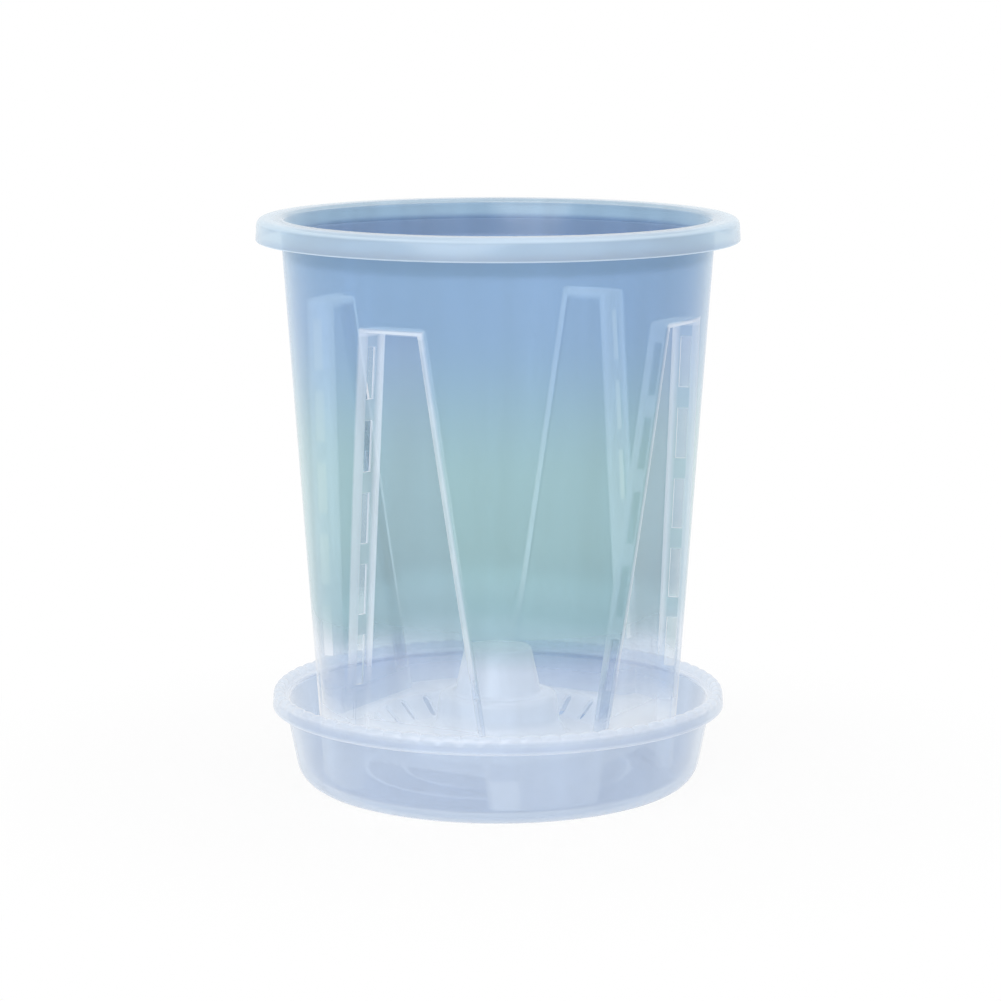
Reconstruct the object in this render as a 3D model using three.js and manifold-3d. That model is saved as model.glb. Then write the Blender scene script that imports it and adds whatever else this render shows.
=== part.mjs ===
// A clear plant pot in its drip saucer, both moulded in polypropylene, in millimetres with +Z up.
// The origin is the centre of the saucer's underside. Four slotted indents run down the pot's wall,
// one on each of the axes -Y, +X, +Y and -X, and the wall between them reaches down as four legs.

import * as THREE from 'three';
import { mergeVertices } from 'three/addons/utils/BufferGeometryUtils.js';
import Module from 'manifold-3d';

// Pot: the tapered wall and its rim, a flange with a turned-down skirt
const RIM_DIAMETER = 160;
const RIM_REACH = 8;
const RIM_DEPTH = 7.6;
const RIM_WALL = 1.5;
const RIM_ROUND = 2.6;
const RIM_DRAFT = 0.4;
const SKIRT_EDGE_ROUND = 0.6;
const POT_HEIGHT = 186.6;
const POT_WALL = 1.2;
const POT_TAPER_DEGREES = 4.016;

// Pot: the indents, pressed in from outside, with a flat back that widens and leans in downwards
const INDENT_COUNT = 4;
const INDENT_DROP = 32;
const INDENT_TOP_WIDTH = 15;
const INDENT_FOOT_WIDTH = 49.2;
const INDENT_TOP_DEPTH = 8.1;
const INDENT_FOOT_DEPTH = 12;
const INDENT_DRAFT_DEGREES = 15.2;
const MOUTH_HEIGHT = 9.5;

// Pot: the air slots in both side faces of each indent
const AIR_SLOT_WIDTH = 3.5;
const AIR_SLOT_HEIGHT = 17;
const AIR_SLOT_GAP = 7;
const AIR_SLOT_TOP_MARGIN = 5;
const AIR_SLOT_FLOOR_MARGIN = 4;

// Pot: the floor, a dish with a sloping, slotted edge inside a raised ledge
const FLOOR_WALL = 1.2;
const FLOOR_ROUND = 1.5;
const DISH_RISE = 10.6;
const LEDGE_RISE = 7;
const LEDGE_WIDTH = 5.4;
const SLOPE_RUN = 7;
const DRAIN_SLOT_COUNT = 24;
const DRAIN_SLOT_WIDTH = 2.8;
const DRAIN_SLOT_MARGIN = 0.4;

// Pot: the hollow cone in the middle of the dish, two tiers with a shoulder between them
const CONE_HEIGHT = 31;
const CONE_TOP_DIAMETER = 22.4;
const CONE_TOP_ROUND = 1.4;
const CONE_NECK_DIAMETER = 29;
const SHOULDER_HEIGHT = 15.5;
const SHOULDER_DIAMETER = 39.6;
const SHOULDER_ROUND = 2.4;
const SKIRT_HEIGHT = 6.5;
const SKIRT_DIAMETER = 41.2;
const CONE_FOOT_DIAMETER = 48;
const CONE_FOOT_ROUND = 4;

// Pot: the thicker foot at one end of each leg
const FOOT_LENGTH = 11;
const FOOT_HEIGHT = 9.5;
const FOOT_WALL = 3.2;

// Saucer: a flaring wall round the legs, with a turned-down lip
const SAUCER_HEIGHT = 32.2;
const SAUCER_ROOM = 7.6;
const SAUCER_FLARE = 5.5;
const SAUCER_WALL = 1.4;
const SAUCER_CORNER = 9;
const LIP_REACH = 4;
const LIP_HEIGHT = 6;
const LIP_WALL = 1.3;
const LIP_DRAFT = 0.5;

// Saucer: the notched bead along the top of the rim
const BEAD_WIDTH = 3.6;
const BEAD_HEIGHT = 2.6;
const NOTCH_COUNT = 72;
const NOTCH_DEPTH = 0.8;

// Saucer: the floor above its foot ring, with two raised circles inside the legs
const SAUCER_FLOOR = 1.4;
const FOOT_RING_HEIGHT = 2.2;
const FOOT_RING_INSET = 3.9;
const CIRCLE_COUNT = 2;
const CIRCLE_INSET = 7.4;
const CIRCLE_SPACING = 13;
const CIRCLE_WIDTH = 2.4;
const CIRCLE_HEIGHT = 0.8;

// Fit: the gap under the pot's legs where it stands in the saucer
const REST_GAP = 0.3;

// Fineness of the round shapes, the most of a straight run that a rounding takes,
// and how far a cutter reaches past what it cuts
const TURN_STEPS = 72;
const CONE_STEPS = 32;
const ROUND_STEP = 1.6;
const ARC_STEPS = 2;
const ROUND_SHARE = 0.49;
const OVERSHOOT = 1;

// Finish: the pot's clear plastic and the saucer's, which is milkier
const POT_COLOUR = 0xa9c9de;
const POT_OPACITY = 0.4;
const SAUCER_COLOUR = 0xc6d6ea;
const SAUCER_OPACITY = 0.5;
const ROUGHNESS = 0.15;

// Heights and radii that follow from the sizes above
const saucerFloorZ = FOOT_RING_HEIGHT + SAUCER_FLOOR;
const footZ = saucerFloorZ + REST_GAP;
const rimTopZ = footZ + POT_HEIGHT;
const roofZ = rimTopZ - INDENT_DROP;
const dishZ = footZ + DISH_RISE;
const ledgeZ = dishZ + LEDGE_RISE;
const rimRadius = RIM_DIAMETER / 2;
const draftSlope = Math.tan(THREE.MathUtils.degToRad(INDENT_DRAFT_DEGREES));

const wasm = await Module();
wasm.setup();

// A closed three.js geometry as a solid: shared vertices merged, triangles that shrink to a line left out
function toSolid(geometry) {
  geometry.deleteAttribute('normal');
  geometry.deleteAttribute('uv');
  const merged = mergeVertices(geometry, 1e-4);
  const corners = merged.index.array;
  const triangles = [];
  for (let i = 0; i < corners.length; i += 3) {
    const [a, b, c] = corners.slice(i, i + 3);
    if (a !== b && b !== c && c !== a) triangles.push(a, b, c);
  }
  const vertProperties = new Float32Array(merged.attributes.position.array);
  const triVerts = new Uint32Array(triangles);
  return new wasm.Manifold(new wasm.Mesh({ numProp: 3, vertProperties, triVerts }));
}

function toGeometry(solid) {
  const { vertProperties, triVerts } = solid.getMesh();
  const geometry = new THREE.BufferGeometry();
  geometry.setAttribute('position', new THREE.BufferAttribute(vertProperties, 3));
  geometry.setIndex(new THREE.BufferAttribute(triVerts, 1));
  geometry.computeVertexNormals();
  return geometry;
}

function joined(solids) {
  return solids.reduce((whole, solid) => whole.add(solid));
}

// Solids from a geometry repeated at even angles round the axis
function repeated(count, makeGeometry, firstAngle = 0) {
  return Array.from({ length: count }, (_, i) => {
    const angle = firstAngle + (i * 2 * Math.PI) / count;
    return toSolid(makeGeometry().rotateZ(angle));
  });
}

// An outline through [radius, height, rounding] corners, with the material on its left
function roundedOutline(corners, closed) {
  const points = corners.map(([r, z]) => new THREE.Vector2(r, z));
  const last = points.length - 1;
  const outline = points.flatMap((corner, i) => {
    const before = points.at(i - 1).clone().sub(corner);
    const after = points[i === last ? 0 : i + 1].clone().sub(corner);
    const isEnd = !closed && (i === 0 || i === last);
    const rounding = isEnd ? 0 : (corners[i][2] ?? 0);
    if (rounding === 0) return [corner];
    const wanted = rounding / Math.tan(before.angleTo(after) / 2);
    const reach = Math.min(wanted, ROUND_SHARE * before.length(), ROUND_SHARE * after.length());
    const enter = corner.clone().add(before.setLength(reach));
    const leave = corner.clone().add(after.setLength(reach));
    const steps = Math.ceil(Math.sqrt(rounding / ROUND_STEP));
    return new THREE.QuadraticBezierCurve(enter, corner, leave).getPoints(steps);
  });
  return closed ? [...outline, outline[0]] : outline;
}

// The same corners moved down by a wall's thickness, square to the outline, with roundings that stay parallel
function underside(corners, thickness) {
  const points = corners.map(([r, z]) => new THREE.Vector2(r, z));
  const runs = points.slice(1).map((point, i) => point.clone().sub(points[i]).normalize());
  return corners.map(([r, z, rounding = 0], i) => {
    const before = runs[Math.max(i - 1, 0)];
    const after = runs[Math.min(i, runs.length - 1)];
    const down = new THREE.Vector2(before.y + after.y, -before.x - after.x).normalize();
    const shift = thickness / (down.x * before.y - down.y * before.x);
    const turn = Math.sign(before.cross(after)) * thickness;
    return [r + down.x * shift, z + down.y * shift, Math.max(rounding + turn, 0)];
  });
}

// A solid of revolution about +Z from an outline of radii and heights
function turned(outline, steps) {
  return toSolid(new THREE.LatheGeometry(outline, steps).rotateX(Math.PI / 2));
}

// The outside radius of the pot's wall at a height
function wallRadius(z) {
  const taper = Math.tan(THREE.MathUtils.degToRad(POT_TAPER_DEGREES));
  return rimRadius - RIM_REACH - (rimTopZ - z) * taper;
}

// An indent's flat back at a height, seen from outside: its distance from the axis and half its width
function indentBack(z) {
  const share = (z - footZ) / (roofZ - footZ);
  const footReach = wallRadius(footZ) - INDENT_FOOT_DEPTH;
  const topReach = wallRadius(roofZ) - INDENT_TOP_DEPTH;
  return {
    reach: THREE.MathUtils.lerp(footReach, topReach, share),
    half: THREE.MathUtils.lerp(INDENT_FOOT_WIDTH, INDENT_TOP_WIDTH, share) / 2,
  };
}

// Half the indent's width at a distance from the axis, on its drafted side faces
function indentHalf(x, z) {
  const { reach, half } = indentBack(z);
  return half + (x - reach) * draftSlope;
}

// Where an indent's side face comes out through the wall at a height: distances along and across its middle
function sideFaceEnd(z) {
  const slant = Math.hypot(1, draftSlope);
  const start = indentHalf(0, z);
  const middle = -start * draftSlope;
  const x = (middle + Math.sqrt((wallRadius(z) * slant) ** 2 - start ** 2)) / slant ** 2;
  return { x, y: indentHalf(x, z) };
}

// A block along +X with an indent's shape between two heights, grown by a skin and let deeper into the pot
function indentBlock(lowZ, highZ, skin, deeper) {
  const block = new THREE.BoxGeometry(2, 2, 2);
  const { position } = block.attributes;
  for (let i = 0; i < position.count; i++) {
    const z = position.getZ(i) > 0 ? highZ : lowZ;
    const x = position.getX(i) > 0 ? rimRadius : indentBack(z).reach - skin - deeper;
    const half = indentHalf(x, z) + skin * Math.hypot(1, draftSlope);
    position.setXYZ(i, x, position.getY(i) * half, z);
  }
  return block;
}

// The upper ends of the air slots in one column, from the indent's roof down to the ledge
function airSlotTops() {
  const highest = roofZ - AIR_SLOT_TOP_MARGIN;
  const pitch = AIR_SLOT_HEIGHT + AIR_SLOT_GAP;
  const room = highest - ledgeZ - AIR_SLOT_FLOOR_MARGIN + AIR_SLOT_GAP;
  return Array.from({ length: Math.floor(room / pitch) }, (_, row) => highest - row * pitch);
}

// A cutter for one air slot along the middle of an indent's side face, on the +Y or -Y side of the indent on +X
function airSlot(topZ, side) {
  const lowZ = topZ - AIR_SLOT_HEIGHT;
  const edge = AIR_SLOT_WIDTH / 2;
  const [low, top] = [lowZ, topZ].map((z) => (indentBack(z).reach + sideFaceEnd(z).x) / 2);
  const outline = new THREE.Shape([
    new THREE.Vector2(low - edge, lowZ),
    new THREE.Vector2(low + edge, lowZ),
    new THREE.Vector2(top + edge, topZ),
    new THREE.Vector2(top - edge, topZ),
  ]);
  const nearY = indentHalf(top - edge, topZ) - OVERSHOOT;
  const farY = indentHalf(low + edge, lowZ) + 2 * POT_WALL + OVERSHOOT;
  const slot = new THREE.ExtrudeGeometry(outline, { depth: farY - nearY, bevelEnabled: false });
  return slot.rotateX(Math.PI / 2).translate(0, side > 0 ? farY : -nearY, 0);
}

// The floor's corners from the axis out to the wall: cone, dish, sloping edge and ledge
function floorCorners() {
  const ledgeRadius = indentBack(ledgeZ).reach - POT_WALL - LEDGE_WIDTH;
  return [
    [0, dishZ + CONE_HEIGHT],
    [CONE_TOP_DIAMETER / 2, dishZ + CONE_HEIGHT, CONE_TOP_ROUND],
    [CONE_NECK_DIAMETER / 2, dishZ + SHOULDER_HEIGHT, SHOULDER_ROUND],
    [SHOULDER_DIAMETER / 2, dishZ + SHOULDER_HEIGHT, SHOULDER_ROUND],
    [SKIRT_DIAMETER / 2, dishZ + SKIRT_HEIGHT, CONE_FOOT_ROUND],
    [CONE_FOOT_DIAMETER / 2, dishZ, CONE_FOOT_ROUND],
    [ledgeRadius - SLOPE_RUN, dishZ, FLOOR_ROUND],
    [ledgeRadius, ledgeZ, FLOOR_ROUND],
    [wallRadius(ledgeZ) - POT_WALL / 2, ledgeZ],
  ];
}

function floorShell() {
  const corners = floorCorners();
  const upper = roundedOutline(corners, false);
  const lower = roundedOutline(underside(corners, FLOOR_WALL), false);
  return turned([...lower, ...upper.reverse()], CONE_STEPS);
}

// A round-ended slot along +X through the floor's sloping edge
function drainSlot() {
  const corners = floorCorners();
  const [lowest, highest] = [corners.at(-3), corners.at(-2)];
  const round = DRAIN_SLOT_WIDTH / 2;
  const near = lowest[0] + DRAIN_SLOT_MARGIN + round;
  const far = highest[0] - DRAIN_SLOT_MARGIN - round;
  const outline = new THREE.Shape();
  outline.absarc(far, 0, round, -Math.PI / 2, Math.PI / 2, false);
  outline.absarc(near, 0, round, Math.PI / 2, (3 * Math.PI) / 2, false);
  const depth = LEDGE_RISE + FLOOR_WALL + 2 * OVERSHOOT;
  const settings = { depth, bevelEnabled: false, curveSegments: ARC_STEPS };
  return new THREE.ExtrudeGeometry(outline, settings).translate(0, 0, dishZ - FLOOR_WALL - OVERSHOOT);
}

// The thicker foot inside the leg, beside the indent along +X
function legFoot() {
  const outer = wallRadius(footZ + FOOT_HEIGHT);
  const inner = wallRadius(footZ) - FOOT_WALL;
  const end = sideFaceEnd(footZ);
  const start = Math.atan2(end.y, end.x);
  const stop = start + FOOT_LENGTH / wallRadius(footZ);
  const outline = new THREE.Shape();
  outline.absarc(0, 0, outer, start, stop, false);
  outline.absarc(0, 0, inner, stop, start, true);
  const settings = { depth: FOOT_HEIGHT, bevelEnabled: false, curveSegments: ARC_STEPS };
  return new THREE.ExtrudeGeometry(outline, settings).translate(0, 0, footZ);
}

// The wall with its rim, turned from one closed outline
function wallAndRim() {
  const flangeZ = rimTopZ - RIM_WALL;
  const skirtZ = rimTopZ - RIM_DEPTH;
  return turned(roundedOutline([
    [wallRadius(footZ) - POT_WALL, footZ],
    [wallRadius(footZ), footZ],
    [wallRadius(flangeZ), flangeZ, RIM_WALL],
    [rimRadius - RIM_DRAFT - RIM_WALL, flangeZ, RIM_ROUND - RIM_WALL / 2],
    [rimRadius - RIM_WALL, skirtZ, SKIRT_EDGE_ROUND],
    [rimRadius, skirtZ],
    [rimRadius - RIM_DRAFT, rimTopZ, RIM_ROUND],
    [wallRadius(rimTopZ) - POT_WALL, rimTopZ, RIM_WALL],
  ], true), TURN_STEPS);
}

// The room that the pot's outside fills, without rim or indents
function wallEnvelope() {
  return turned([
    new THREE.Vector2(0, footZ),
    new THREE.Vector2(wallRadius(footZ), footZ),
    new THREE.Vector2(wallRadius(rimTopZ), rimTopZ),
    new THREE.Vector2(0, rimTopZ),
  ], TURN_STEPS);
}

function potSolid() {
  const firstDrain = Math.PI / DRAIN_SLOT_COUNT;
  const lining = joined([
    floorShell(),
    ...repeated(INDENT_COUNT, () => indentBlock(footZ, roofZ + POT_WALL, POT_WALL, 0)),
    ...repeated(INDENT_COUNT, legFoot),
  ]);
  const airSlots = airSlotTops().flatMap((topZ) => [1, -1].flatMap((side) => (
    repeated(INDENT_COUNT, () => airSlot(topZ, side))
  )));
  const lowZ = footZ - OVERSHOOT;
  const cuts = joined([
    ...repeated(INDENT_COUNT, () => indentBlock(lowZ, roofZ, 0, 0)),
    ...repeated(INDENT_COUNT, () => indentBlock(lowZ, footZ + MOUTH_HEIGHT, 0, POT_WALL + OVERSHOOT)),
    ...repeated(DRAIN_SLOT_COUNT, drainSlot, firstDrain),
    ...airSlots,
  ]);
  return wallAndRim().add(lining.intersect(wallEnvelope())).subtract(cuts);
}

// Saucer radii, all measured out from the pot's legs
const saucerFootRadius = wallRadius(footZ) + SAUCER_ROOM;
const saucerTopRadius = saucerFootRadius + SAUCER_FLARE;
const saucerRimRadius = saucerTopRadius + LIP_REACH;
const beadRadius = saucerRimRadius - LIP_DRAFT;

// Corners of the raised circles on the saucer's floor, from the outermost in
function circleCorners() {
  const { reach, half } = indentBack(footZ);
  const legInside = Math.hypot(reach - POT_WALL, half);
  const outermost = legInside - CIRCLE_INSET;
  return Array.from({ length: CIRCLE_COUNT }, (_, i) => outermost - i * CIRCLE_SPACING).flatMap((middle) => [
    [middle + CIRCLE_WIDTH / 2, saucerFloorZ],
    [middle, saucerFloorZ + CIRCLE_HEIGHT],
    [middle - CIRCLE_WIDTH / 2, saucerFloorZ],
  ]);
}

// A square bar that cuts one notch across the outer shoulder of the bead, along +X
function notchBar() {
  const side = 2 * NOTCH_DEPTH;
  const shoulder = BEAD_WIDTH / 2;
  const length = 2 * (BEAD_WIDTH + BEAD_HEIGHT + OVERSHOOT);
  const bar = new THREE.BoxGeometry(length, side, side);
  const lift = (shoulder - NOTCH_DEPTH + side * Math.SQRT1_2) * Math.SQRT1_2;
  bar.rotateX(Math.PI / 4).rotateY(Math.PI / 4);
  return bar.translate(beadRadius - shoulder + lift, 0, SAUCER_HEIGHT - shoulder + lift);
}

function saucerSolid() {
  const foot = saucerFootRadius;
  const beadZ = SAUCER_HEIGHT - BEAD_HEIGHT;
  const lipTopZ = beadZ - LIP_WALL;
  const lipZ = SAUCER_HEIGHT - LIP_HEIGHT;
  const recess = wallRadius(footZ) - FOOT_RING_INSET;
  const body = turned(roundedOutline([
    [0, FOOT_RING_HEIGHT],
    [recess, FOOT_RING_HEIGHT],
    [recess, 0],
    [foot, 0, SAUCER_CORNER],
    [saucerTopRadius, lipTopZ],
    [beadRadius - LIP_WALL, lipTopZ, LIP_WALL],
    [saucerRimRadius - LIP_WALL, lipZ],
    [saucerRimRadius, lipZ],
    [beadRadius, SAUCER_HEIGHT, BEAD_WIDTH / 2],
    [beadRadius - BEAD_WIDTH, SAUCER_HEIGHT, BEAD_WIDTH / 2],
    [beadRadius - BEAD_WIDTH, beadZ],
    [saucerTopRadius - SAUCER_WALL, beadZ, LIP_WALL],
    [foot - SAUCER_WALL, saucerFloorZ, SAUCER_CORNER - saucerFloorZ],
    ...circleCorners(),
    [0, saucerFloorZ],
  ], false), TURN_STEPS);
  return body.subtract(joined(repeated(NOTCH_COUNT, notchBar, Math.PI / NOTCH_COUNT)));
}

function clearPlastic(color, opacity) {
  const settings = { color, opacity, transparent: true, roughness: ROUGHNESS, metalness: 0 };
  return new THREE.MeshStandardMaterial(settings);
}

function part(name, solid, material) {
  const mesh = new THREE.Mesh(toGeometry(solid), material);
  mesh.name = name;
  return mesh;
}

const plantPot = new THREE.Group();
plantPot.add(part('saucer', saucerSolid(), clearPlastic(SAUCER_COLOUR, SAUCER_OPACITY)));
plantPot.add(part('pot', potSolid(), clearPlastic(POT_COLOUR, POT_OPACITY)));

export default plantPot;
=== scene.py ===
# %% [markdown]
# # A clear plant pot in its saucer
#
# The real object is two thin mouldings of clear polypropylene: a tapered pot whose wall is
# folded in at four places, and a saucer that it stands in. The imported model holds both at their
# real size, as plain faceted solids. This lesson keeps that frame, makes each moulding again as
# one fine closed mesh and gives it clear plastic. Lengths are in millimetres, and are turned to
# Blender's metres where a mesh, a lamp or a shader takes them.

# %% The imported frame
import math

import bmesh
import bpy
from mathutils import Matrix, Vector


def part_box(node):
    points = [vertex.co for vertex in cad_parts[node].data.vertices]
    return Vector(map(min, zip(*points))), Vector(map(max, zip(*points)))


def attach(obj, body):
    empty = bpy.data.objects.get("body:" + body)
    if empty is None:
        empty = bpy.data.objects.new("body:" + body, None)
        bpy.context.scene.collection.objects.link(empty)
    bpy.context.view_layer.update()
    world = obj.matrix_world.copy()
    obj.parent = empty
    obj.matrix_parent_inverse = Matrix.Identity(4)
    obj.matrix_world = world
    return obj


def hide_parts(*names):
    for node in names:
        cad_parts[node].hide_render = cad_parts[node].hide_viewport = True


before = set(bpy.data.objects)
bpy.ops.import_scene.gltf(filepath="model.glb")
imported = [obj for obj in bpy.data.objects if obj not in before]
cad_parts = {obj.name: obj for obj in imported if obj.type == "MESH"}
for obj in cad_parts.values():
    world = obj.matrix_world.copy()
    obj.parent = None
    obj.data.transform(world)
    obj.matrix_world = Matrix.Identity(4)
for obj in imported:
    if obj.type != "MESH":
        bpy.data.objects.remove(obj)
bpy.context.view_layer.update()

# %% [markdown]
# ## Camera
#
# The photograph looks slightly down on the pot through a long lens. The camera's distance,
# height and focal length were fitted to the ellipses of the rim and the saucer, and its turn to
# the four indents. A camera could also be aimed with a constraint, but plain numbers say what
# was measured.

# %% Camera
MM = 0.001
IMAGE_PIXELS = 1001
FOCAL_PIXELS = 3394.6
AXIS_PIXEL = 498.0
SENSOR_WIDTH = 36.0
CAMERA_DISTANCE = 1120.0
CAMERA_ABOVE_RIM = 97.2
CAMERA_TURN = math.radians(29.4)
CAMERA_PITCH = math.radians(9.75)

rim_top_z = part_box("pot")[1].z / MM
lens = bpy.data.cameras.new("photo_camera")
lens.sensor_width = SENSOR_WIDTH
lens.lens = SENSOR_WIDTH * FOCAL_PIXELS / IMAGE_PIXELS
lens.shift_x = (IMAGE_PIXELS / 2 - AXIS_PIXEL) / IMAGE_PIXELS
camera = bpy.data.objects.new("photo_camera", lens)
camera.location = Vector((
    CAMERA_DISTANCE * math.sin(CAMERA_TURN),
    -CAMERA_DISTANCE * math.cos(CAMERA_TURN),
    rim_top_z + CAMERA_ABOVE_RIM,
)) * MM
camera.rotation_euler = (math.pi / 2 - CAMERA_PITCH, 0, CAMERA_TURN)
bpy.context.scene.collection.objects.link(camera)
bpy.context.scene.camera = camera
print("camera", [round(v, 3) for v in camera.location], "lens", round(lens.lens, 1), "mm")

# %% [markdown]
# ## Colours and shader nodes
#
# Colours are written as sRGB hex values, as they are picked, and one function turns
# them to the linear values that shaders work in. A second function adds a shader node, sets it
# and links it, so that each material below reads as a list of its steps.

# %% Colours and shader nodes
def linear(hex_colour):
    """A linear RGBA colour from an sRGB value such as "#c0ffee", by the standard's own formula."""
    channels = [int(hex_colour[i:i + 2], 16) / 255 for i in (1, 3, 5)]
    return [c / 12.92 if c <= 0.04045 else ((c + 0.055) / 1.055) ** 2.4 for c in channels] + [1.0]


def add_node(tree, kind, settings=None, inputs=None):
    """A new shader node with its settings, and with each input set to a value or linked to a socket."""
    node = tree.nodes.new("ShaderNode" + kind)
    for name, value in (settings or {}).items():
        setattr(node, name, value)
    for name, value in (inputs or {}).items():
        if isinstance(value, bpy.types.NodeSocket):
            tree.links.new(value, node.inputs[name])
        else:
            node.inputs[name].default_value = value
    return node


print("white in linear light:", linear("#ffffff"))

# %% [markdown]
# ## Studio
#
# The pot stands on a plain white floor in soft light: a large lamp in front of it, a weak one at
# the right and one overhead. The background has to stay white behind clear plastic too, so the
# world and the floor show plain white to camera, mirror and glass rays, while the light that
# falls on the object comes from a dimmer world and the lamps. A backdrop sheet could be lit to
# white instead, but that would put more light on the object. Near the pot a share of the floor
# is matt paper, which keeps the soft shadow.

# %% World
WORLD_LIGHT = 0.6
SEEN_RAYS = ("Is Camera Ray", "Is Glossy Ray", "Is Transmission Ray")

bpy.context.scene.view_settings.view_transform = "Standard"
world = bpy.data.worlds.new("white_studio")
world.use_nodes = True
bpy.context.scene.world = world
tree = world.node_tree
tree.nodes.clear()


def is_any_ray(tree, kinds):
    """1 for rays of the Light Path's given kinds, and 0 for all others."""
    path = add_node(tree, "LightPath")
    total = path.outputs[kinds[0]]
    for kind in kinds[1:]:
        total = add_node(tree, "Math", {"operation": "MAXIMUM"}, {
            0: total, 1: path.outputs[kind]}).outputs[0]
    return total


strength = add_node(tree, "MapRange", inputs={
    "Value": is_any_ray(tree, SEEN_RAYS), "To Min": WORLD_LIGHT, "To Max": 1.0})
sky = add_node(tree, "Background", inputs={
    "Color": linear("#ffffff"), "Strength": strength.outputs["Result"]})
add_node(tree, "OutputWorld", inputs={"Surface": sky.outputs["Background"]})
print("world light", WORLD_LIGHT)

# %% Floor
FLOOR_RADIUS = 1500.0
FLOOR_CORNERS = 96

floor_mesh = bpy.data.meshes.new("studio_floor")
shape = bmesh.new()
bmesh.ops.create_circle(shape, cap_ends=True, segments=FLOOR_CORNERS, radius=FLOOR_RADIUS * MM)
shape.to_mesh(floor_mesh)
shape.free()
floor = bpy.data.objects.new("studio_floor", floor_mesh)
bpy.context.scene.collection.objects.link(floor)
print("floor radius", FLOOR_RADIUS, "mm")

# %% Matt paper on the floor
# Uncoated paper scatters light evenly, so the eye sees no mirror image, only the soft shadow.
SHADOW_NEAR = 80.0
SHADOW_FAR = 220.0
SHADOW_SHARE = 0.18

paper = bpy.data.materials.new("matt_white_paper")
paper.use_nodes = True
tree = paper.node_tree
tree.nodes.clear()
place = add_node(tree, "TexCoord").outputs["Object"]
distance = add_node(tree, "VectorMath", {"operation": "LENGTH"}, {0: place}).outputs["Value"]
fade = add_node(tree, "MapRange", {"interpolation_type": "SMOOTHSTEP"}, {
    "Value": distance, "From Min": SHADOW_NEAR * MM, "From Max": SHADOW_FAR * MM,
    "To Min": 1 - SHADOW_SHARE, "To Max": 1.0})
white_share = add_node(tree, "Math", {"operation": "MULTIPLY"}, {
    0: is_any_ray(tree, SEEN_RAYS), 1: fade.outputs["Result"]})
matt = add_node(tree, "BsdfDiffuse", inputs={"Color": linear("#fbfbfb")})
plain = add_node(tree, "Emission", inputs={"Color": linear("#ffffff"), "Strength": 1.0})
mixed = add_node(tree, "MixShader", inputs={
    0: white_share.outputs[0], 1: matt.outputs[0], 2: plain.outputs[0]})
add_node(tree, "OutputMaterial", inputs={"Surface": mixed.outputs[0]})
floor_mesh.materials.append(paper)
print("shadow fades out from", SHADOW_NEAR, "to", SHADOW_FAR, "mm")

# %% Lamps
LAMPS = {
    "key": {"place": (165, -990, 600), "size": 1000, "watts": 4.7},
    "fill": {"place": (900, -420, 520), "size": 800, "watts": 0.5},
    "top": {"place": (120, 260, 1150), "size": 900, "watts": 2.6},
}

aim = Vector((0, 0, rim_top_z / 2)) * MM
for name, lamp in LAMPS.items():
    light = bpy.data.lights.new("studio_" + name, "AREA")
    light.shape = "DISK"
    light.size = lamp["size"] * MM
    light.energy = lamp["watts"]
    holder = bpy.data.objects.new("studio_" + name, light)
    holder.location = Vector(lamp["place"]) * MM
    holder.rotation_euler = (aim - holder.location).to_track_quat("-Z", "Y").to_euler()
    bpy.context.scene.collection.objects.link(holder)
print(len(LAMPS), "lamps")

# %% [markdown]
# ## Clear polypropylene
#
# Pot and saucer are injection moulded in clear polypropylene. The melt freezes with tiny crystals
# in it, so the plastic is never quite as clear as glass: a thin wall is clear with a blue cast,
# and what is thick or folded turns milky white. Along the folds and the rims' edges that milk is
# partly painted highlight. The outside comes from a blasted mould, so it is finely matt and
# catches the light, and most of the inside is polished and shows only the tint.
# The blasted grain is far finer than a pixel, so it is a matt share here and not a bump pattern.
# A solid glass shader would bend light at both skins of a wall that is barely thicker than a
# millimetre, for no visible gain and much noise. Here each skin lets light straight through with
# half the wall's tint, scatters a milky share, adds a matt share and mirrors like plastic. The
# mesh carries two numbers for this, named "milk" and "matt".

# %% The tint and its painted reflection streaks
# The streaks are painted reflections: faint upright bands of lighter and darker tint.
# Their sizes are in millimetres.
REFLECTION_STREAK_WIDTH = 8.0
REFLECTION_STREAK_LENGTH = 140.0
REFLECTION_STREAK_DETAIL = 2.0
REFLECTION_STREAK_SHADE = (0.9, 1.06)


def colour_by_height(tree, height, colours):
    """A colour that changes smoothly with height, from hex values by height in millimetres."""
    heights = sorted(colours)
    colour = linear(colours[heights[0]])
    for low, high in zip(heights, heights[1:]):
        share = add_node(tree, "MapRange", {"interpolation_type": "SMOOTHSTEP"}, {
            "Value": height, "From Min": low * MM, "From Max": high * MM})
        colour = add_node(tree, "Mix", {"data_type": "RGBA"}, {
            0: share.outputs[0], 6: colour, 7: linear(colours[high])}).outputs[2]
    return colour


def with_painted_reflections(tree, place, colour):
    """A colour with faint upright streaks of lighter and darker tint, which are painted reflections."""
    reflection_place = add_node(tree, "VectorMath", {"operation": "MULTIPLY"}, {
        0: place, 1: [1 / (size * MM) for size in (REFLECTION_STREAK_WIDTH, REFLECTION_STREAK_WIDTH, REFLECTION_STREAK_LENGTH)]})
    streaks = add_node(tree, "TexNoise", inputs={
        "Vector": reflection_place.outputs[0], "Scale": 1.0, "Detail": REFLECTION_STREAK_DETAIL})
    shade = add_node(tree, "MapRange", inputs={
        "Value": streaks.outputs[0], "To Min": REFLECTION_STREAK_SHADE[0], "To Max": REFLECTION_STREAK_SHADE[1]})
    return add_node(tree, "VectorMath", {"operation": "SCALE"}, {
        0: colour, "Scale": shade.outputs[0]}).outputs[0]


print("streaks", REFLECTION_STREAK_WIDTH, "mm wide and", REFLECTION_STREAK_LENGTH, "mm long")

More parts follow.
